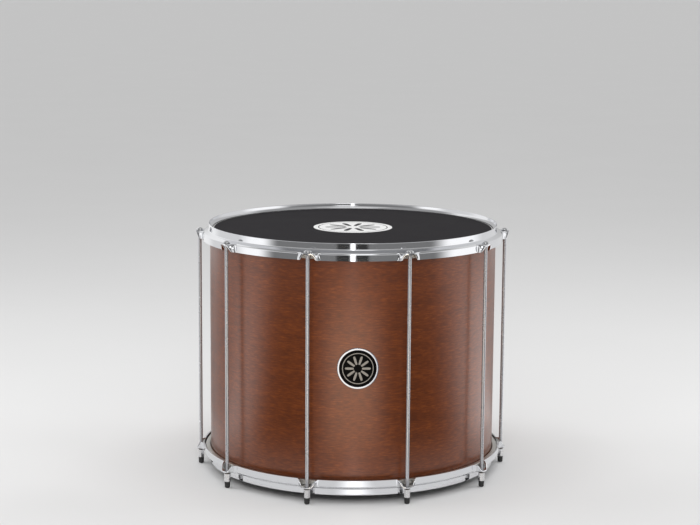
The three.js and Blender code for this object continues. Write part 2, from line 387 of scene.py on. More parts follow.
# %% [markdown]
# Each head is a black synthetic skin with the fine pebbled grain of soft leather. A round white patch is
# printed in the middle of it, with a plain ring and a rosette of ten petals, one for each rod. The rosette
# is a formula on the angle round the axis, so the badge can use it too.

# %% Head finishes
print_radius = 69.8 * mm
petal_slimness = 0.6
centre_share = 0.2


def rosette_in_ring(vector, size, petal_share, ring_shares):
    """1 on a ring and on petals round the origin of X and Y, as shares of a size, else 0."""
    along = coordinate(vector, "X")
    across = coordinate(vector, "Y")
    radius = from_axis(vector)
    angle = along.maths("ARCTAN2", across, along)
    wave = angle.maths("COSINE", angle * float(rod_count))
    centre = size * centre_share
    reach = centre + size * petal_share * between(wave, -petal_slimness, 1.0)
    petals = (radius < reach) * (radius > centre)
    start, end = ring_shares
    return petals + (radius > size * start) * (radius < size * end)


def black_skin():
    finish = Finish("black_skin")
    here = place(finish)
    grain = finish.node("ShaderNodeTexVoronoi", {"feature": "DISTANCE_TO_EDGE"}, {
        "Vector": stretched(here, 1.3 * mm), "Scale": 1.0,
    }, "Distance")
    fine = noise(here, 0.6 * mm)
    cloud = noise(here, 60 * mm, 4.0)
    return finish.surface({
        "Base Color": blend(cloud, srgb(31, 29, 32), srgb(39, 37, 40)),
        "Roughness": 0.7 + 0.16 * cloud,
        "Specular IOR Level": 0.14,
        "Normal": bump(grain * 0.7 + fine * 0.3, 0.14 * mm),
    })


def head_print():
    finish = Finish("head_print")
    here = place(finish)
    ink = rosette_in_ring(here, print_radius, 0.5, (0.86, 0.885))
    paper = noise(here, 8 * mm, 4.0)
    white = blend(paper, srgb(226, 226, 226), srgb(236, 236, 235))
    return finish.surface({
        "Base Color": blend(ink, white, srgb(30, 29, 31)),
        "Roughness": 0.5 + 0.12 * paper,
        "Normal": bump(noise(here, 1.1 * mm, 2.0), 0.05 * mm),
    })


# The head's film from the bend on, coloured pale grey.
def pale_film():
    finish = Finish("pale_film")
    cloud = noise(place(finish), 5 * mm, 4.0)
    return finish.surface({
        "Base Color": blend(cloud, srgb(158, 157, 156), srgb(176, 175, 174)),
        "Roughness": 0.22 + 0.12 * cloud,
        "Normal": bump(cloud, 0.03 * mm),
    })


# %% [markdown]
# A head lies flat on the bearing edge, bends down over it and ends in a collar inside its flesh hoop.
# From the bend on, the film is coloured pale grey. One turned profile gives all of it,
# and the lower head is the same piece turned over, without the print.

# %% Heads
head_thickness = 0.7 * mm
bend_round = 3.2 * mm
under_bend_round = 2.4 * mm
collar_round = 1.6 * mm
inner_collar_round = 1.2 * mm
bend_share = 0.4
flat_margin = 8 * mm
film_margin = 3 * mm
test_margin = 0.1 * mm
flesh_clearance = 1.2 * mm
flesh_width = 7.8 * mm
flesh_lip = 1 * mm
seat_gap = 0.3 * mm
collar_inside = shell_radius + flesh_clearance + flesh_lip + seat_gap
collar_outside = collar_inside + head_thickness
collar_depth = playing_face - heights("top_head")[0]


def head_shape(face, side):
    """A head whose playing face is at that height. Side is 1 for the upper head and -1 for the lower."""
    bend = ridge_radius + bend_share * head_thickness
    flat = sorted([print_radius, *np.linspace(0, ridge_radius - flat_margin, 14)])
    profile = rounded([
        *[(radius, 0, 0) for radius in flat],
        (bend, 0, bend_round),
        (collar_outside, bend - collar_outside, collar_round),
        (collar_outside, -collar_depth, 0),
        (collar_inside, -collar_depth, 0),
        (collar_inside, ridge_radius - collar_inside - head_thickness, inner_collar_round),
        (ridge_radius, -head_thickness, under_bend_round),
        (0, -head_thickness, 0),
    ], steps=5, closed=False)
    profile[:, 1] = face + side * profile[:, 1]
    return skin(turned(profile), closed=False)


def on_print(centre):
    return centre.z > playing_face - test_margin and math.hypot(centre.x, centre.y) < print_radius


def on_collar(centre):
    return math.hypot(centre.x, centre.y) > ridge_radius - film_margin


black = black_skin()
film = pale_film()
add_piece("upper_head", head_shape(playing_face, 1), black, "top_head",
          zones={on_print: head_print(), on_collar: film})
add_piece("lower_head", head_shape(lower_face, -1), black, "bottom_head",
          zones={on_collar: film})
print("playing face at", round(1000 * playing_face, 1), "mm")

# %% [markdown]
# A flesh hoop is the ring that holds the edge of the skin. It is a dull aluminium extrusion, and it shows
# through the ears of the counter hoops. The fine lines along it are noise that is long round the ring and
# short across it.

# %% Aluminium
def aluminium():
    finish = Finish("mill_aluminium")
    here = place(finish)
    across = finish.node("ShaderNodeCombineXYZ", None,
                         {"X": from_axis(here), "Y": coordinate(here, "Z"), "Z": 0.0})
    lines = noise(across, (0.35 * mm, 0.35 * mm, 1.0), 3.0, 0.6)
    stain = noise(here, (25 * mm, 25 * mm, 6 * mm), 4.0)
    return finish.surface({
        "Base Color": blend(stain, srgb(206, 205, 200), srgb(226, 225, 220)),
        "Metallic": 1.0,
        "Roughness": 0.3 + 0.2 * lines,
        "Normal": bump(lines, 0.03 * mm),
    })


# %% Flesh hoops
groove_depth = 6 * mm
flesh_outer_round = 1.1 * mm
flesh_inner_round = 0.5 * mm
groove_lip_round = 0.3 * mm
groove_floor_round = 0.2 * mm


def flesh_hoop_shape(start, end):
    """A ring from its closed edge at one height to the edge with the head's groove at another."""
    inside = shell_radius + flesh_clearance
    outside = inside + flesh_width
    wide = collar_outside + seat_gap
    narrow = collar_inside - seat_gap
    floor = end + math.copysign(groove_depth, start - end)
    return skin(turned(rounded([
        (inside, start, flesh_inner_round),
        (outside, start, flesh_outer_round),
        (outside, end, flesh_outer_round),
        (wide, end, groove_lip_round),
        (wide, floor, groove_floor_round),
        (narrow, floor, groove_floor_round),
        (narrow, end, groove_lip_round),
        (inside, end, groove_lip_round),
    ], steps=3)))


flesh_metal = aluminium()
for end, order in (("top", 1), ("bottom", -1)):
    node = f"{end}_flesh_hoop"
    add_piece(f"{end}_flesh_ring", flesh_hoop_shape(*heights(node)[::order]), flesh_metal,
              node)
    print(node, "from and to", [round(1000 * height, 1) for height in heights(node)], "mm")

# %% [markdown]
# The counter hoops are pressed from steel sheet and then chromed. Each has an upright wall, a shoulder
# that slopes down outwards, a fold, and a skirt. At every rod the press draws an ear out of the skirt: a
# flat land for the rod's head and two legs that spread down to the free edge, open in front. The press
# leaves soft rounds everywhere, so the sheet is one net of points. Each column of the net follows the ring
# from the rim down until it meets the ear, and then runs out along the ear to its edge.

# %% Sizes of a counter hoop, counted from its free edge
sheet = 2.3 * mm
wall_height = 11.4 * mm
shoulder_drop = 4.8 * mm
skirt_clearance = 1.7 * mm
fold_radius = 2.6 * mm
rim_radius = 0.9 * mm
free_edge_round = 0.25 * mm
lined_thickness = 0.9 * mm
wall_lean = 1.0 * mm
lip_reach = 4.2 * mm
lip_height = 3.4 * mm
lip_gap = 0.4 * mm
lip_end = 0.5 * mm
land_depth = 14.5 * mm
land_half_width = 7.4 * mm
nose_reach = 7.4 * mm
knee_half_width = 11 * mm
knee_drop = 3.1 * mm
mouth_half_width = 16.2 * mm
mouth_reach = 2 * mm
root_half_width = 20 * mm
neck_side = 6.6 * mm
hole_clearance = 0.4 * mm

wall_outside = shell_radius + sheet
skirt_outside = shell_radius + flesh_clearance + flesh_width + skirt_clearance + sheet
shoulder_top = hoop_height - wall_height
shoulder_slope = shoulder_drop / (skirt_outside - wall_outside)
land_height = hoop_height - land_depth
knee_slope = knee_drop / (knee_half_width - land_half_width)
leg_slope = (land_height - knee_drop) / (mouth_half_width - knee_half_width)
hole_half = neck_side / 2 + hole_clearance


def ring_path():
    """The outside of the plain hoop, from under the rim down to the free edge."""
    lean = math.atan(shoulder_slope)
    middle = np.array([skirt_outside - fold_radius, 0])
    middle[1] = (shoulder_top - (middle[0] - wall_outside) * shoulder_slope
                 - fold_radius * math.hypot(1, shoulder_slope))
    turn = np.linspace(math.pi / 2 - lean, 0, 12)
    fold = middle + fold_radius * np.stack([np.cos(turn), np.sin(turn)], axis=1)
    return np.array([[wall_outside, hoop_height - rim_radius], [wall_outside, shoulder_top],
                     *fold, [skirt_outside, 0]])


# %% [markdown]
# The height of an ear is a formula of where a point lies. Seen from the front it is a flat land with two
# legs that bend at the knees and fall to the free edge. Towards the skirt the legs spread, until the whole
# width is level where it runs into the shoulder. A smooth maximum in place of a sharp one gives the bends
# the round that the press leaves.

# %% The ear as a formula
ear_softness = 0.9 * mm
flare_power = 1.5
root_slope = 6.0


def soft_above_zero(value):
    return (value + np.sqrt(value ** 2 + ear_softness ** 2)) / 2


def ear_edge(along):
    """How far out an ear reaches: half an ellipse over its mouth, and back to the skirt at its root."""
    away = np.abs(along)
    nose = rod_circle + nose_reach - skirt_outside - mouth_reach
    back = np.clip((root_half_width - away) / (root_half_width - mouth_half_width), 0, 1)
    arch = np.sqrt(np.clip(1 - (away / mouth_half_width) ** 2, 0, 1))
    return skirt_outside + mouth_reach * back + nose * arch


def ear_height(out, along):
    """Height of an ear's outside, at a distance from the drum's axis and from the ear's middle."""
    away = np.abs(along)
    edge = ear_edge(along)
    flare = np.clip((edge - out) / np.maximum(edge - skirt_outside, 0.1 * mm), 0, 1) ** flare_power
    width = away * (1 - flare * (1 - land_half_width / root_half_width))
    fall = knee_slope * soft_above_zero(width - land_half_width)
    fall += (leg_slope - knee_slope) * soft_above_zero(width - knee_half_width)
    return land_height - fall - root_slope * soft_above_zero(away - root_half_width)


# %% [markdown]
# A column is first drawn with many close points, then smoothed along its length, and then thinned so that
# more points stay where it bends. The smoothing is a moving average whose ends are carried on in a
# straight line, so that the edge doesn't shrink.

# %% One column of the sheet
close_step = 0.12 * mm
bend_reach = 0.75 * mm
column_points = 36
ear_points = 600
least_points = 12
bend_weight = 2.2 * mm
bend_window = 7


def spaced(points, lengths, count):
    """Points at even steps of a length that grows along the column."""
    wanted = np.linspace(0, lengths[-1], count)
    return np.stack([np.interp(wanted, lengths, points[:, axis]) for axis in (0, 1)], axis=1)


def densely(points):
    lengths = np.r_[0, np.cumsum(np.linalg.norm(np.diff(points, axis=0), axis=1))]
    return spaced(points, lengths, max(2, int(lengths[-1] / close_step)))


def softened(points):
    half = int(3 * bend_reach / close_step)
    offsets = np.arange(-half, half + 1) * close_step
    weights = np.exp(-(offsets / bend_reach) ** 2 / 2)
    weights /= weights.sum()
    before = points[0] + (points[0] - points[1]) * np.arange(half, 0, -1)[:, None]
    after = points[-1] + (points[-1] - points[-2]) * np.arange(1, half + 1)[:, None]
    padded = np.concatenate([before, points, after])
    return np.stack([np.convolve(padded[:, axis], weights, "valid") for axis in (0, 1)], axis=1)


def thinned(points, count):
    steps = np.diff(points, axis=0)
    heading = np.unwrap(np.arctan2(steps[:, 1], steps[:, 0]))
    turning = np.abs(np.gradient(heading)) / np.linalg.norm(steps, axis=1)
    density = 1 + np.convolve(turning * bend_weight, np.ones(bend_window) / bend_window, "same")
    return spaced(points, np.r_[0, np.cumsum(density * np.linalg.norm(steps, axis=1))], count)


def column(turn):
    """Distances from the axis and heights of one column, at an angle from the ear's middle."""
    ring = densely(ring_path())
    meets = np.flatnonzero(ring[:, 1] < ear_height(ring[:, 0], ring[:, 0] * math.sin(turn)))
    along = skirt_outside * math.sin(turn)
    if len(meets) and meets[0] < len(ring) - least_points:
        leaves = ring[: meets[0] + 1]
        edge = ear_edge(along) - skirt_outside * (math.cos(turn) - 1)
        out = np.linspace(leaves[-1, 0], max(edge, leaves[-1, 0] + 6 * close_step), ear_points)
        rise = ear_height(out, np.minimum(out, skirt_outside) * math.sin(turn))
        above = int(np.argmax(rise < 0)) or len(out)
        ear = np.stack([out, rise], axis=1)[1:above]
        if above < len(out):
            share = rise[above - 1] / (rise[above - 1] - rise[above])
            ear = np.vstack([ear, [out[above - 1] + share * (out[above] - out[above - 1]), 0]])
        ring = densely(np.concatenate([leaves, ear]))
    return softened(ring)


# %% [markdown]
# Columns are close together across an ear and wide apart between ears. Along both sides of the square hole
# one point of a column lies on each end of the hole, so that faces can be left out to open it. The inside
# of the sheet lies one thickness in along the normals, and short rounds close the rim and the free edge.
# The wall is lined: its inner face leans out a little, and a lip at its foot covers the bend of the head.

# %% The net of one hoop
hole_columns = 3
ear_columns = 24
plain_columns = 8
lip_rows = 3
ear_margin = 2.4 * mm
foot_margin = 0.8 * mm


def column_angles():
    hole = np.linspace(0, hole_half, hole_columns + 1)
    ear = np.linspace(hole_half, root_half_width + ear_margin, ear_columns)[1:]
    sides = np.arcsin(np.r_[hole, ear] / skirt_outside)
    plain = np.linspace(sides[-1], math.pi / rod_count, plain_columns)[1:]
    half = np.r_[sides, plain]
    return np.r_[-half[::-1][:-1], half][1:]


def hole_ends(points):
    """Which points of a middle column lie nearest to the hole's two ends."""
    return [int(np.abs(points[:, 0] - rod_circle - side * hole_half).argmin()) for side in (-1, 1)]


def outer_net():
    """Points of the outside of one ear's sector, and where its hole is."""
    turns = column_angles()
    middle = int(np.abs(turns).argmin())
    rows = hole_ends(thinned(column(0), column_points))
    net = np.zeros((column_points, len(turns), 2))
    for index, turn in enumerate(turns):
        dense = column(turn)
        net[:, index] = thinned(dense, column_points)
        if abs(index - middle) <= hole_columns:
            marks = [0, *rows, column_points - 1]
            goals = [0, *hole_ends(dense), len(dense) - 1]
            for start, end, low, high in zip(marks, marks[1:], goals, goals[1:]):
                net[start: end + 1, index] = thinned(dense[low: high + 1], end - start + 1)
    return net, turns, (rows, (middle - hole_columns, middle + hole_columns))


def line_the_wall(outside, inside):
    """Moves the upper rows of the inside onto a face that leans out, with a flatter lip at its foot."""
    foot = playing_face - hoop_edge + lip_gap
    rows = int(np.sum(outside[:, :, 2].min(axis=1) > shoulder_top + foot_margin))
    wall_rows = rows - lip_rows
    row_heights = np.r_[np.linspace(hoop_height - rim_radius, foot + lip_height, wall_rows),
                        foot + lip_height / 2, foot, foot - lip_end]
    lean = np.linspace(0, wall_lean, wall_rows)
    thickness = lined_thickness + np.r_[lean, wall_lean + lip_reach * np.array([0.5, 1.0, 0.9])]
    radius = np.linalg.norm(outside[:rows, :, :2], axis=2)
    for row in range(rows):
        inside[row, :, :2] = outside[row, :, :2] * (1 - thickness[row] / radius[row])[:, None]
        inside[row, :, 2] = row_heights[row]


def half_round(outer, inner, reach, steps):
    """Rows of points on a round from one face of the sheet to the other."""
    middle = (outer + inner) / 2
    half = (outer - inner) / 2
    turns = np.linspace(0, math.pi, steps)[1:-1]
    return np.array([middle + half * math.cos(turn) + reach * math.sin(turn) for turn in turns])


def hoop_shape():
    net, turns, hole_at = outer_net()
    radius, height = net[:, :, 0], net[:, :, 1]
    inward = np.minimum(radius, skirt_outside)
    along = inward * np.sin(turns)
    out = inward * np.cos(turns) + np.maximum(radius - skirt_outside, 0)
    outside = np.concatenate([
        np.stack([along * math.cos(angle) + out * math.sin(angle),
                  along * math.sin(angle) - out * math.cos(angle), height], axis=-1)
        for angle in rod_angles
    ], axis=1)
    down = np.gradient(outside, axis=0)
    round_it = np.roll(outside, -1, axis=1) - np.roll(outside, 1, axis=1)
    normal = np.cross(round_it, down)
    normal /= np.linalg.norm(normal, axis=2, keepdims=True)
    if (normal[0] * outside[0]).sum() < 0:
        normal = -normal
    inside = outside - sheet * normal
    line_the_wall(outside, inside)
    heading = outside[-1] - outside[-2]
    heading /= np.linalg.norm(heading, axis=1, keepdims=True)
    edge = half_round(outside[-1], inside[-1], heading * free_edge_round, 6)
    rim = half_round(outside[0], inside[0], np.array([0, 0, rim_radius]), 7)
    rings = np.concatenate([outside, edge, inside[::-1], rim[::-1]])
    return rings, hole_at, len(turns), len(edge)


# %% [markdown]
# The net becomes faces, the cells of the ten holes are left out on both sides of the sheet, and a strip of
# faces lines each hole. The lower hoop is the same pressing turned over.

# %% Both counter hoops
def hoop_faces(rings, hole_at, per_ear, edge_rows):
    total, segments = rings.shape[:2]
    faces = skin_faces(total, segments, True)
    keep = np.ones(faces.shape[:2], bool)
    (first, last), (left, right) = hole_at
    back = 2 * column_points + edge_rows - 1
    lining = []
    for ear in range(rod_count):
        columns = [ear * per_ear + index for index in range(left, right + 1)]
        keep[first:last, columns[:-1]] = False
        keep[back - last: back - first, columns[:-1]] = False
        loop = [(row, columns[0]) for row in range(first, last)]
        loop += [(last, at) for at in columns[:-1]]
        loop += [(row, columns[-1]) for row in range(last, first, -1)]
        loop += [(first, at) for at in columns[:0:-1]]
        for (row, at), (next_row, next_at) in zip(loop, loop[1:] + loop[:1]):
            lining.append([row * segments + at, next_row * segments + next_at,
                           (back - next_row) * segments + next_at, (back - row) * segments + at])
    return faces[keep].tolist() + lining


rings, *rest = hoop_shape()
faces = hoop_faces(rings, *rest)
print("one counter hoop:", rings.shape[0] * rings.shape[1], "points,", len(faces), "faces")

# %% [markdown]
# Bright chrome is a mirror, but a pressed hoop isn't flat: it has slow waves from the press, about a
# hundredth of a millimetre deep over centimetres, a faint haze and a few dull specks.

# %% Chrome
def chrome(name, tone, low, high, wave_size, wave_depth, dulled=0.5, metallic=1.0):
    finish = Finish(name)
    here = place(finish)
    haze = noise(here, 30 * mm, 5.0, 0.6)
    waves = noise(here, wave_size, 1.0)
    specks = between(noise(here, 1.1 * mm, 1.0), 0.74, 0.8)
    colour = blend(haze, tone, tuple(0.94 * value for value in tone[:3]) + (1.0,))
    return finish.surface({
        "Base Color": blend(specks * dulled, colour, srgb(120, 118, 114)),
        "Metallic": metallic,
        "Roughness": low + (high - low) * haze + 0.24 * dulled * specks,
        "Normal": bump(waves, wave_depth),
    })


hoop_chrome = chrome("hoop_chrome", srgb(237, 238, 241), 0.03, 0.09, 60 * mm, 0.015 * mm)
upper = rings.reshape(-1, 3) + np.array([0, 0, hoop_edge])
lower = rings.reshape(-1, 3) * np.array([1, -1, -1]) + np.array([0, 0, lower_rim + hoop_height])
add_piece("upper_counter_hoop", (upper, faces), hoop_chrome, "top_hoop")
add_piece("lower_counter_hoop", (lower, faces), hoop_chrome, "bottom_hoop")

# %% [markdown]
# A tension rod is a long steel pin with a domed head. Under the head it is square for a few millimetres,
# so that it can't turn in its square hole, and its lower end has a thread with a pitch of one millimetre.
# All of it is one skin: the square and the thread are rings whose radius changes with the angle. A mirror
# this thin would break every reflection into specks, so the pin is duller than its head.

# %% Tension rods
rod_radius = 3 * mm
rod_segments = 40
plain_margin = 10 * mm
dome_radius = 6.7 * mm
dome_height = 4.1 * mm
dome_edge = 0.9 * mm
dome_bevel = 0.4 * mm
dome_round = 0.5 * mm
dome_shoulder = 0.8 * mm
cap_inset = 0.9 * mm
neck_length = 5.5 * mm
neck_ramp = 0.5 * mm
neck_top_step = 0.02 * mm
neck_corner_share = 0.66
pitch = 1 * mm
thread_length = 30 * mm
thread_depth = 0.55 * mm
thread_fade = 2 * mm
tip_inset = 0.9 * mm
tip_height = 0.4 * mm
tip_taper = 0.3 * mm


def rod_shape(bottom, top):
    turn = full_turn(rod_segments)
    square = neck_side / 2 / np.maximum(np.abs(np.sin(turn)), np.abs(np.cos(turn)))
    square = np.minimum(square, neck_side * neck_corner_share)
    thread_end = bottom + thread_length
    seat = top - dome_height
    neck = seat - neck_length
    rows = [(0, bottom), (rod_radius - tip_inset, bottom)]
    for height in np.arange(bottom + tip_height, thread_end, pitch / 4):
        start = min(1, (height - bottom) / thread_fade)
        runout = min(1, (thread_end - height) / thread_fade)
        phase = (height / pitch - turn / (2 * math.pi)) % 1
        cut = thread_depth * runout * (1 - np.abs(2 * phase - 1))
        rows.append((rod_radius - cut - tip_taper * (1 - start), height))
    plain = np.linspace(thread_end + thread_length, seat - plain_margin, 6)
    rows += [(rod_radius, height) for height in (thread_end + pitch / 2, *plain, neck - neck_ramp)]
    rows += [(square, neck), (square, seat - neck_top_step), (square, seat)]
    rise = dome_height - dome_edge
    ball = (dome_radius ** 2 + rise ** 2) / (2 * rise)
    brim = rounded([(dome_radius - dome_bevel, 0, 0), (dome_radius, dome_bevel / 2, dome_bevel / 2),
                    (dome_radius, dome_edge, dome_round),
                    (dome_radius - dome_shoulder, dome_edge + dome_shoulder, 0)], closed=False)
    rows += [(radius, seat + height) for radius, height in brim[:-1]]
    for angle in np.linspace(math.asin((dome_radius - cap_inset) / ball), 0, 9):
        rows.append((ball * math.sin(angle), top - ball + ball * math.cos(angle)))
    return skin(turned(rows, rod_segments), closed=False)


rod_bottom, rod_top = heights("tension_rod_01")


def on_dome(centre):
    return centre.z > rod_top - dome_height - test_margin


rod_chrome = chrome("rod_chrome", srgb(192, 193, 197), 0.24, 0.3, 90 * mm, 0.001 * mm,
                    dulled=0.0, metallic=0.55)
dome_chrome = chrome("dome_chrome", srgb(228, 229, 231), 0.05, 0.11, 30 * mm, 0.003 * mm)
rod_points, rod_faces = rod_shape(rod_bottom, rod_top)
for number, angle in zip(numbers, rod_angles):
    add_piece(f"rod_{number}", (at_rod(rod_points, angle), rod_faces), rod_chrome,
              f"tension_rod_{number}", zones={on_dome: dome_chrome})
print("rods:", len(rod_points), "points each")

# %% [markdown]
# Under each lower ear sit a dark washer, a long hexagon nut and a rubber foot that is pressed into
# the nut's bore. The nut's ends were turned to a cone, so each ring takes the smaller of the hexagon's and
# the cone's radius, which draws the curved chamfer lines by itself.

# %% Finishes of the small parts
def dark_steel():
    finish = Finish("dark_steel")
    here = place(finish)
    wear = noise(here, 2.5 * mm, 5.0, 0.65)
    return finish.surface({
        "Base Color": blend(wear, srgb(66, 62, 58), srgb(104, 96, 88)),
        "Metallic": 1.0,
        "Roughness": 0.34 + 0.22 * wear,
        "Normal": bump(wear, 0.03 * mm),
    })


def satin_chrome():
    finish = Finish("satin_chrome")
    here = place(finish)
    turning = noise(here, (6 * mm, 6 * mm, 0.25 * mm), 3.0, 0.6)
    haze = noise(here, 5 * mm, 4.0)
    return finish.surface({
        "Base Color": blend(haze, srgb(222, 222, 224), srgb(236, 235, 235)),
        "Metallic": 1.0,
        "Roughness": 0.2 + 0.14 * turning,
        "Normal": bump(turning, 0.012 * mm),
    })


def rubber():
    finish = Finish("foot_rubber")
    here = place(finish)
    dust = noise(here, 1.6 * mm, 5.0, 0.7)
    scuff = 1 - between(coordinate(here, "Z"), 0.3 * mm, 2.2 * mm)
    return finish.surface({
        "Base Color": blend(dust * 0.5 + scuff * 0.35, srgb(26, 27, 28), srgb(66, 65, 64)),
        "Roughness": 0.52 + 0.25 * dust,
        "Normal": bump(dust, 0.06 * mm),
    })


# %% Washers, nuts and feet
washer_radius = 5.6 * mm
washer_edge_round = 0.45 * mm
bore_radius = rod_radius + hole_clearance
bore_edge_round = 0.25 * mm
nut_flats = 10 * mm
nut_segments = 72
nut_bevel = 0.9 * mm
nut_face_round = 0.25 * mm
nut_corner_cut = 0.12 * mm
bore_bevel = 0.3 * mm
foot_top_radius = 4.95 * mm
foot_end_radius = 4.4 * mm
foot_round = 2.6 * mm
foot_top_round = 0.5 * mm
stem_foot_round = 0.1 * mm
stem_top_round = 0.4 * mm
tread_shares = (0.42, 0.66)
tread_half = 0.5 * mm
tread_depth = 0.35 * mm
tread_round = 0.25 * mm
foot_length = heights("tension_nut_01")[0] - seat_gap


def washer_shape(bottom, top):
    return skin(turned(rounded([
        (bore_radius, bottom, bore_edge_round),
        (washer_radius, bottom, washer_edge_round),
        (washer_radius, top, washer_edge_round),
        (bore_radius, top, bore_edge_round),
    ], steps=3), 48))


def nut_shape(bottom, top):
    sixth = math.pi / 3
    off_flat = (full_turn(nut_segments) + sixth / 2) % sixth - sixth / 2
    corner = nut_flats / 2 / math.cos(sixth / 2)
    hexagon = np.minimum(nut_flats / 2 / np.cos(off_flat), corner - nut_corner_cut)
    cone = [(corner - nut_bevel - nut_face_round, 0), (corner - nut_bevel, nut_corner_cut)]
    cone += [(corner - nut_bevel + nut_bevel * share, nut_corner_cut + nut_bevel * share)
             for share in np.linspace(0.15, 1, 7)]
    length = top - bottom
    limits = cone + [(corner, share * length) for share in (0.3, 0.5, 0.7)]
    limits += [(radius, length - height) for radius, height in cone[::-1]]
    rows = [(np.minimum(hexagon, limit), bottom + height) for limit, height in limits]
    rows += [(bore_radius, top - bore_bevel), (bore_radius, bottom + bore_bevel)]
    return skin(turned(rows, nut_segments))


def foot_shape(bottom, top):
    """A tapered tip with two shallow grooves round it and a stem in the nut's bore."""
    stem = bore_radius - seat_gap
    corners = [(0, bottom, 0), (foot_end_radius, bottom, foot_round)]
    for share in tread_shares:
        height = foot_length * share
        radius = foot_end_radius + (foot_top_radius - foot_end_radius) * share
        corners += [(radius, height - tread_half, tread_round),
                    (radius - tread_depth, height, tread_round),
                    (radius, height + tread_half, tread_round)]
    corners += [(foot_top_radius, foot_length, foot_top_round), (stem, foot_length, stem_foot_round),
                (stem, top, stem_top_round), (0, top, 0)]
    return skin(turned(rounded(corners, closed=False), 48), closed=False)


small_parts = [
    ("washer", "plain_washer", washer_shape, dark_steel(), "nut_carriage", "washer_steel"),
    ("tension_nut", "long_nut", nut_shape, satin_chrome(), "nut", "nut_chrome"),
    ("rubber_foot", "foot", foot_shape, rubber(), "nut", "foot_rubber"),
]
for node, name, shape_of, finish, body, slot in small_parts:
    points, small_faces = shape_of(*heights(f"{node}_01"))
    for number, angle in zip(numbers, rod_angles):
        add_piece(f"{name}_{number}", (at_rod(points, angle), small_faces), finish, f"{node}_{number}",
                  f"{body}_{number}", sharp=32)
    print(name, "x", rod_count, "with", len(points), "points each")

# %% [markdown]
# The badge is a black enamelled plate in a polished rim, both bent to the shell, with the rosette of the
# head in silver. Both are drawn flat, as rings, and every point is then moved out to the curve of the shell.

# %% Badge
badge_low, badge_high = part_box("badge_rim")
badge_middle = (badge_low.z + badge_high.z) / 2
badge_radius = (badge_high.z - badge_low.z) / 2
badge_rim_width = 3.4 * mm
badge_rim_height = 1.4 * mm
badge_rim_round = 0.7 * mm
badge_foot_round = 0.1 * mm
plate_radius = badge_radius - badge_rim_width - seat_gap
plate_thickness = 0.8 * mm
plate_round = 0.25 * mm
plate_margin = 2 * mm


def bent(profile, segments=96):
    """Rings of (radius, thickness) on the badge's face, bent round the shell."""
    turn = full_turn(segments)
    rings = []
    for radius, thickness in profile:
        across = radius * np.sin(turn)
        out = shell_radius + seat_gap + thickness
        rings.append(np.stack([across, -np.sqrt(out ** 2 - across ** 2),
                               badge_middle + radius * np.cos(turn)], axis=1))
    return np.array(rings)


def enamel():
    finish = Finish("black_enamel")
    here = place(finish)
    flat = finish.node("ShaderNodeCombineXYZ", None,
                       {"X": coordinate(here, "X"), "Y": coordinate(here, "Z") - badge_middle, "Z": 0.0})
    silver = rosette_in_ring(flat, badge_radius, 0.42, (0.72, 0.76))
    wear = noise(here, 4 * mm, 4.0)
    return finish.surface({
        "Base Color": blend(silver, srgb(4, 4, 5), srgb(154, 149, 142)),
        "Metallic": 0.25 * silver,
        "Roughness": 0.3 + 0.1 * silver + 0.08 * wear,
        "Specular IOR Level": 0.04,
        "Normal": bump(silver, 0.05 * mm),
    })


plate = rounded([
    (0, 0, 0), (plate_radius, 0, 0), (plate_radius, plate_thickness, plate_round),
    *[(radius, plate_thickness, 0) for radius in np.linspace(plate_radius - plate_margin, 0, 9)],
], closed=False)
rim_inside = badge_radius - badge_rim_width
rim = rounded([
    (badge_radius, 0, badge_foot_round), (badge_radius, badge_rim_height, badge_rim_round),
    (rim_inside, badge_rim_height, badge_rim_round), (rim_inside, 0, badge_foot_round),
])
badge_chrome = chrome("badge_chrome", srgb(184, 192, 208), 0.12, 0.22, 12 * mm, 0.01 * mm)
add_piece("badge_face", skin(bent(plate), closed=False), enamel(), "badge_plate")
add_piece("badge_ring", skin(bent(rim)), badge_chrome, "badge_rim")
print("badge", round(2000 * badge_radius, 1), "mm across")

# %% [markdown]
# The floor is a plain pale sheet, so large that its far edge is lost on the horizon in every view.

# %% Floor
floor_reach = 120.0


def floor_finish():
    finish = Finish("pale_floor")
    mottle = noise(place(finish), 0.4, 2.0)
    return finish.surface({
        "Base Color": blend(mottle, grey(0.76), grey(0.78)),
        "Roughness": 0.85,
        "Specular IOR Level": 0.2,
    })


floor_corners = floor_reach * np.array([(-1, -1, 0), (1, -1, 0), (1, 1, 0), (-1, 1, 0)])
put("floor", mesh_of("floor", (floor_corners, [(0, 1, 2, 3)]), [floor_finish()]))
print("floor", 2 * floor_reach, "m across")

# %% [markdown]
# Chrome has no look of its own: it shows what stands round it. So a studio tent of grey cloth with white
# panels stands round the drum. The tent glows: its greys and whites are painted light, which shows in
# reflections only, as it casts no shadow and the camera doesn't see it. Its paint is made of stripes over
# the bearing in degrees from the front, and of steps over the height and the distance from the drum.
# Upright chrome looks at the cloth, while the lacquer and the rods look at the tent's foot, which is dark
# with one warm sweep of white. A stripe is a white or grey, the bearings from and to, and how soft both of
# its edges are.

# %% Tent
tent_radius = 1.35
tent_gap_radius = 0.3
tent_lift = 0.001
tent_wall_height = 1.6
tent_top = 2.3

cloth_grey = 0.74
back_grey = 0.5
roof_grey = 0.34
floor_grey = 0.5
near_floor_grey = 0.7
near_sweep_white = 1.5
sweep_white = 2.4
warm_white = (1.0, 0.87, 0.7, 1.0)
tent_strength = 3.4

front_cloth = (0.2, -70, 72, 8)
left_panel = (1.15, -88, -64, 8)
right_panel = (1.15, 64, 104, 10)
back_panel = (0.95, -160, -128, 8)
dark_gap = (0.04, -13, 8.5, 1.5)
bright_strip = (3.4, -3.3, -0.8, 1.0)
key_panel = (3.4, -5, 15, 4)
dark_floor = (0.02, -68, 66, 10)
left_floor = (1.6, -100, -73, 8)
right_floor = (1.6, 80, 122, 10)
near_sweep = (near_sweep_white, -5, 4, 6)

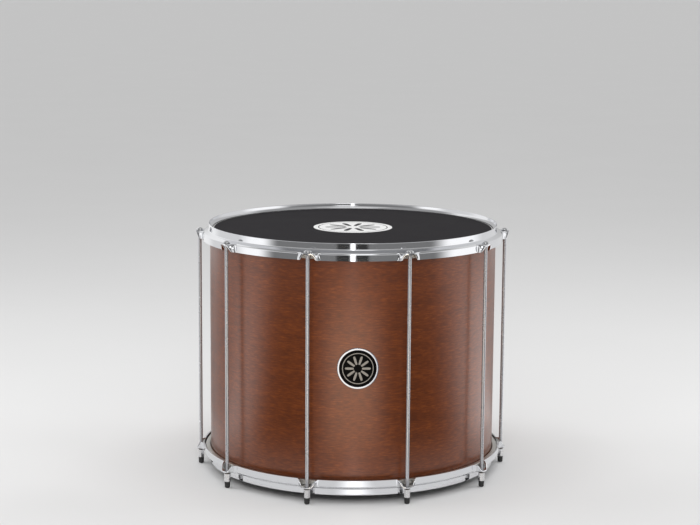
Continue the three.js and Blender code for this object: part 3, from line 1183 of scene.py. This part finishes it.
sides_band = (-150, 150, 10)
sweep_band = (-20, 15, 9)
key_heights = (1.08, 1.5, 0.08)
low_step = (0.42, 0.5)
high_step = (0.72, 0.9)
panel_top_step = (0.85, 1.05)
roof_step = (1.5, 1.75)
foot_height_step = (0.16, 0.2)
foot_step = (0.46, 0.54)
sweep_step = (0.55, 1.2)
near_step = (0.4, 0.5)


def band(value, low, high, soft):
    """1 between low and high, 0 outside, with soft edges."""
    start = between(value, low - soft, low + soft)
    end = between(value, high - soft, high + soft)
    return start * (1 - end)


def toward(level, other, share):
    return level + (other - level) * share


def tent_paint():
    finish = Finish("tent")
    here = place(finish)
    across, deep, height = (coordinate(here, axis) for axis in "XYZ")
    bearing = across.maths("ARCTAN2", across, 0 - deep) * (180 / math.pi)
    radius = from_axis(here)

    def striped(level, stripe, share=1.0):
        return toward(level, stripe[0], band(bearing, *stripe[1:]) * share)

    low = 1 - between(height, *low_step)
    below = 1 - between(height, *panel_top_step)
    level = toward(back_grey, cloth_grey, band(bearing, *sides_band))
    for stripe, share in [
        (front_cloth, low + between(height, *high_step)), (left_panel, below), (right_panel, below),
        (back_panel, 1.0), (dark_gap, low), (bright_strip, below),
        (key_panel, band(height, *key_heights)),
    ]:
        level = striped(level, stripe, share)
    foot = striped(striped(striped(floor_grey, dark_floor), left_floor), right_floor)
    sweep = toward(near_sweep_white, sweep_white, between(radius, *sweep_step))
    in_sweep = band(bearing, *sweep_band)
    far = between(radius, *foot_step) * (1 - between(height, *foot_height_step))
    level = toward(level, toward(foot, sweep, in_sweep), far)
    level = toward(level, roof_grey, between(height, *roof_step))
    level = toward(striped(near_floor_grey, near_sweep), level, between(radius, *near_step))
    tone = blend(far * in_sweep, grey(1.0), warm_white)
    return finish.surface({
        "Base Color": grey(0.0),
        "Specular IOR Level": 0.0,
        "Emission Color": blend(level * (1 / tent_strength), grey(0.0), tone),
        "Emission Strength": tent_strength,
    })


tent_profile = rounded([(tent_gap_radius, tent_lift, 0), (tent_radius, tent_lift, 0.2),
                        (tent_radius, tent_wall_height, 0.5), (0.0, tent_top, 0)], steps=10, closed=False)
tent_shape = skin(turned(tent_profile, 96), closed=False)
tent = put("tent", mesh_of("tent", tent_shape, [tent_paint()]))
for sight in ("camera", "diffuse", "shadow", "transmission", "volume_scatter"):
    setattr(tent, f"visible_{sight}", False)
print("tent", 2 * tent_radius, "m across")

# %% [markdown]
# The tent only gives the reflections. The light comes from large soft lamps, which stay out of the
# reflections, and from an even pale sky.

# %% Lights
drum_middle = Vector((0, 0, 0.22))
sky_grey = 0.7


def softbox(name, size, angle, distance, height, power):
    """A soft lamp that faces the drum, at an angle in degrees from the front, a distance and a height."""
    lamp = bpy.data.lights.new(name, "AREA")
    lamp.shape = "RECTANGLE"
    lamp.size, lamp.size_y = size
    lamp.energy = power
    turn = math.radians(angle)
    panel = put(name, lamp)
    panel.location = (distance * math.sin(turn), -distance * math.cos(turn), height)
    panel.rotation_mode = "QUATERNION"
    panel.rotation_quaternion = (drum_middle - panel.location).to_track_quat("-Z", "Y")
    panel.visible_camera = False
    panel.visible_glossy = False


softbox("left_panel", (1.3, 1.4), -98, 2.0, 1.5, 13)
softbox("right_panel", (1.3, 1.4), 102, 2.2, 1.5, 13)
softbox("top_panel", (1.6, 1.6), 0, 0.3, 2.6, 10)
softbox("front_panel", (0.9, 1.1), -2, 2.6, 1.8, 13)

world = bpy.data.worlds.new("studio")
world.use_nodes = True
world.node_tree.nodes["Background"].inputs["Color"].default_value = grey(sky_grey)
bpy.context.scene.world = world
print("lamps:", len(bpy.data.lights))

# %% [markdown]
# The camera's place, tilt and lens come from fitting a pinhole camera to the hoops and rods in the photo.
# The view has no shift and no blur.

# %% Camera
camera_distance = 3.1626
camera_height = 0.8839
camera_azimuth = 0.03945
camera_pan = -0.00147
camera_pitch = 0.16207
camera_roll = 0.007
focal_pixels = 1799.26
picture_width = 700
sensor_width = 36

camera = bpy.data.cameras.new("camera")
camera.sensor_width = sensor_width
camera.lens = focal_pixels / picture_width * sensor_width
camera.clip_end = 2 * floor_reach
viewpoint = put("camera", camera)
viewpoint.matrix_world = (
    Matrix.Translation((-camera_distance * math.sin(camera_azimuth),
                        -camera_distance * math.cos(camera_azimuth), camera_height))
    @ Matrix.Rotation(-(camera_azimuth + camera_pan), 4, "Z")
    @ Matrix.Rotation(math.pi / 2 - camera_pitch, 4, "X")
    @ Matrix.Rotation(camera_roll, 4, "Z")
)
bpy.context.scene.camera = viewpoint
bpy.context.scene.view_settings.view_transform = "Standard"
print("lens", round(camera.lens, 2), "mm")
